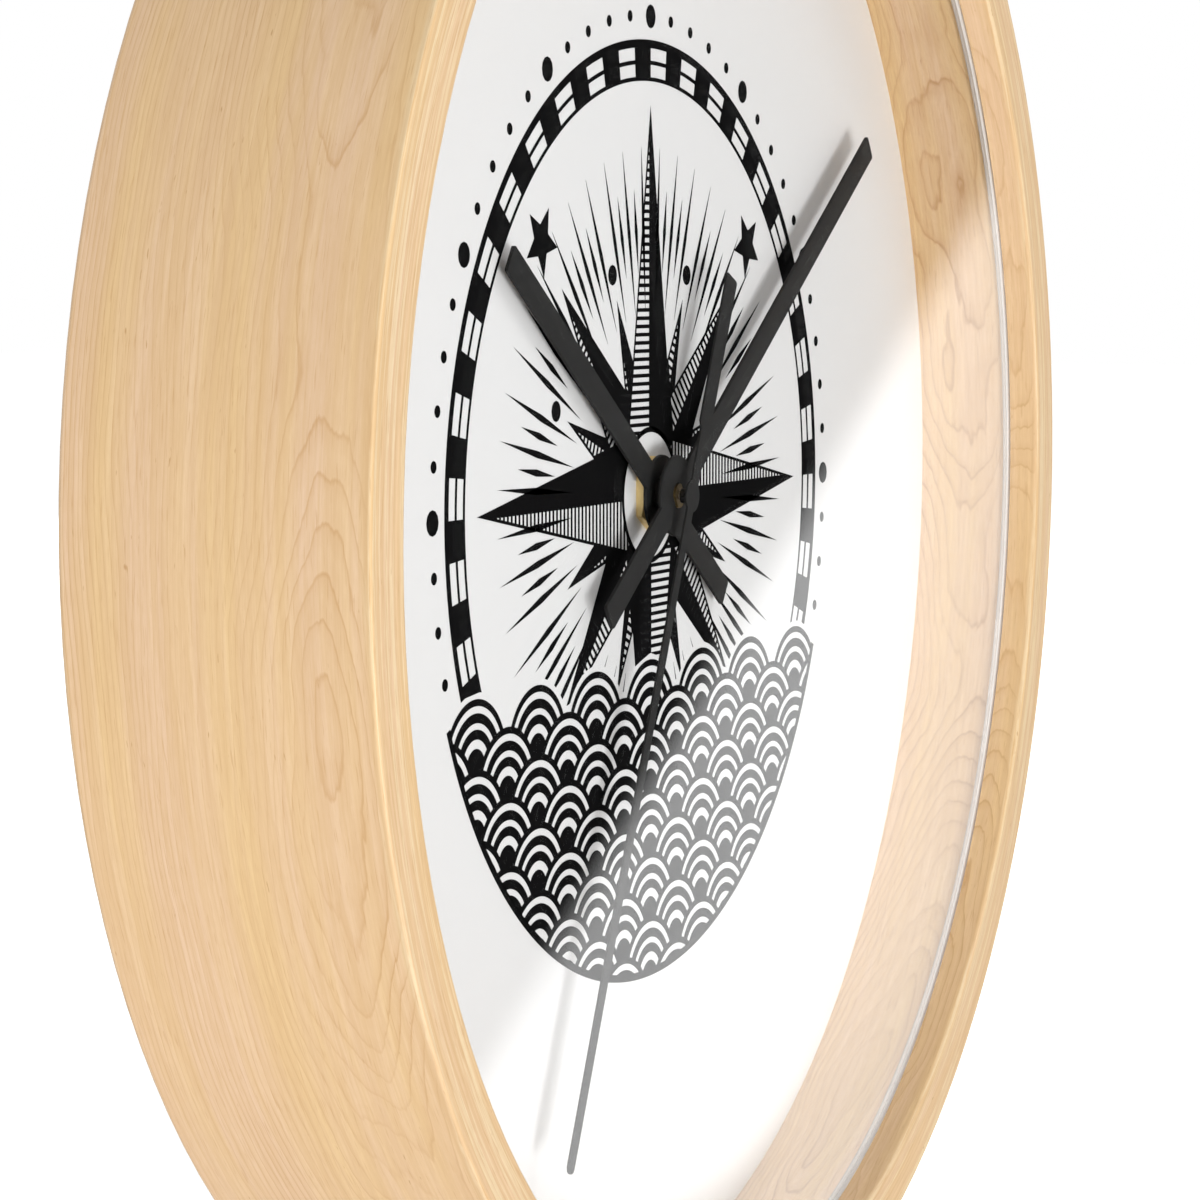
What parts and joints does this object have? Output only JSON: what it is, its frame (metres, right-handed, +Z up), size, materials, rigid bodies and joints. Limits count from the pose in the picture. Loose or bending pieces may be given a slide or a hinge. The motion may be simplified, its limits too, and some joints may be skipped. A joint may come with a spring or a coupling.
{
  "type": "wall clock",
  "caption": "Round battery wall clock with a deep bent-wood frame, glass, three black hands on one axis, a geared quartz movement and a keyhole hanger.",
  "frame": {"origin": "on the axis of the hands, in the plane of the wall that the frame's back edge rests on", "axes": "+X right as seen from the front, +Y from the dial to the wall, +Z up; the dial faces -Y"},
  "size_m": [0.254, 0.0425, 0.254],
  "materials": {
    "maple": "satin lacquer",
    "block_wood": "raw",
    "clear_pane": "clear, polished",
    "white_print": "matt print",
    "fibreboard": "raw",
    "zinc_steel": "zinc plated",
    "case_plastic": "fine texture",
    "washer_rubber": "matt",
    "brass": "turned",
    "white_plastic": "moulded",
    "knob_plastic": "moulded",
    "hand_black": "matt black paint",
    "spring_steel": "bright",
    "motor_iron": "stamped",
    "magnet": "sintered",
    "copper_wire": "enamelled",
    "circuit_green": "solder mask",
    "resin_black": "cast resin",
    "crystal_can": "drawn",
    "cell_jacket": "printed sleeve"
  },
  "bodies": {
    "clock_body": {"wooden_frame": "maple", "glass_pane": "clear_pane", "spacer_hoop": "maple", "dial_sheet": "white_print", "back_board": "fibreboard", "frame_points": "zinc_steel", "hanger_block": "block_wood", "hanger_plate": "zinc_steel", "hanger_screws": "zinc_steel", "movement_case": "case_plastic", "movement_cover": "case_plastic", "rubber_washer": "washer_rubber", "threaded_bush": "brass", "fixing_nut": "brass", "middle_plate": "white_plastic", "train_bridge": "white_plastic", "stator": "motor_iron", "coil_core": "motor_iron", "coil_bobbin": "white_plastic", "coil_winding": "copper_wire", "circuit_board": "circuit_green", "driver_chip": "resin_black", "quartz_crystal": "crystal_can", "positive_contact": "spring_steel", "negative_contact": "spring_steel"},
    "second_hand_body": {"second_hand": "hand_black", "second_tube": "hand_black", "second_arbor": "spring_steel", "second_wheel": "white_plastic"},
    "minute_hand_body": {"minute_hand": "hand_black", "minute_collet": "hand_black", "minute_pipe": "brass", "friction_spring": "spring_steel"},
    "hour_hand_body": {"hour_hand": "hand_black", "hour_collet": "hand_black", "hour_wheel": "white_plastic"},
    "motion_wheel_body": {"motion_wheel": "white_plastic"},
    "setting_knob_body": {"setting_knob": "knob_plastic"},
    "centre_wheel_body": {"centre_wheel": "white_plastic"},
    "third_wheel_body": {"third_wheel": "white_plastic"},
    "intermediate_wheel_body": {"intermediate_wheel": "white_plastic"},
    "rotor_body": {"rotor_pinion": "white_plastic", "rotor_magnet": "magnet"},
    "battery_body": {"battery_cell": "cell_jacket"}
  },
  "joints": [
    {"name": "second_hand_turn", "type": "hinge", "parent": "clock_body", "child": "second_hand_body", "pos_m": [0, -0.0266, 0], "axis": [0, 1, 0], "continuous": true},
    {"name": "minute_hand_turn", "type": "hinge", "parent": "clock_body", "child": "minute_hand_body", "pos_m": [0, -0.024, 0], "axis": [0, 1, 0], "continuous": true},
    {"name": "hour_hand_turn", "type": "hinge", "parent": "clock_body", "child": "hour_hand_body", "pos_m": [0, -0.0216, 0], "axis": [0, 1, 0], "continuous": true},
    {"name": "motion_wheel_turn", "type": "hinge", "parent": "clock_body", "child": "motion_wheel_body", "pos_m": [-0.009, -0.0136, 0], "axis": [0, 1, 0], "continuous": true},
    {"name": "setting_knob_turn", "type": "hinge", "parent": "clock_body", "child": "setting_knob_body", "pos_m": [-0.01536, -0.0008, 0.00636], "axis": [0, 1, 0], "continuous": true},
    {"name": "centre_wheel_turn", "type": "hinge", "parent": "clock_body", "child": "centre_wheel_body", "pos_m": [0, -0.0111, 0], "axis": [0, 1, 0], "continuous": true},
    {"name": "third_wheel_turn", "type": "hinge", "parent": "clock_body", "child": "third_wheel_body", "pos_m": [0.0045, -0.01, 0.00779], "axis": [0, 1, 0], "continuous": true},
    {"name": "intermediate_wheel_turn", "type": "hinge", "parent": "clock_body", "child": "intermediate_wheel_body", "pos_m": [0.00879, -0.0084, -0.00235], "axis": [0, 1, 0], "continuous": true},
    {"name": "rotor_turn", "type": "hinge", "parent": "clock_body", "child": "rotor_body", "pos_m": [0.01519, -0.007, -0.00123], "axis": [0, 1, 0], "continuous": true},
    {"name": "battery_slide", "type": "slide", "parent": "clock_body", "child": "battery_body", "axis": [0, 1, 0], "range_m": [0, 0.02]}
  ],
  "couplings": [
    {"joint": "hour_hand_turn", "follows": "minute_hand_turn", "ratio": 0.083333},
    {"joint": "motion_wheel_turn", "follows": "minute_hand_turn", "ratio": -0.33333},
    {"joint": "setting_knob_turn", "follows": "minute_hand_turn", "ratio": 1},
    {"joint": "intermediate_wheel_turn", "follows": "second_hand_turn", "ratio": -6},
    {"joint": "rotor_turn", "follows": "second_hand_turn", "ratio": 30},
    {"joint": "third_wheel_turn", "follows": "second_hand_turn", "ratio": -0.13333},
    {"joint": "centre_wheel_turn", "follows": "second_hand_turn", "ratio": 0.016667}
  ]
}
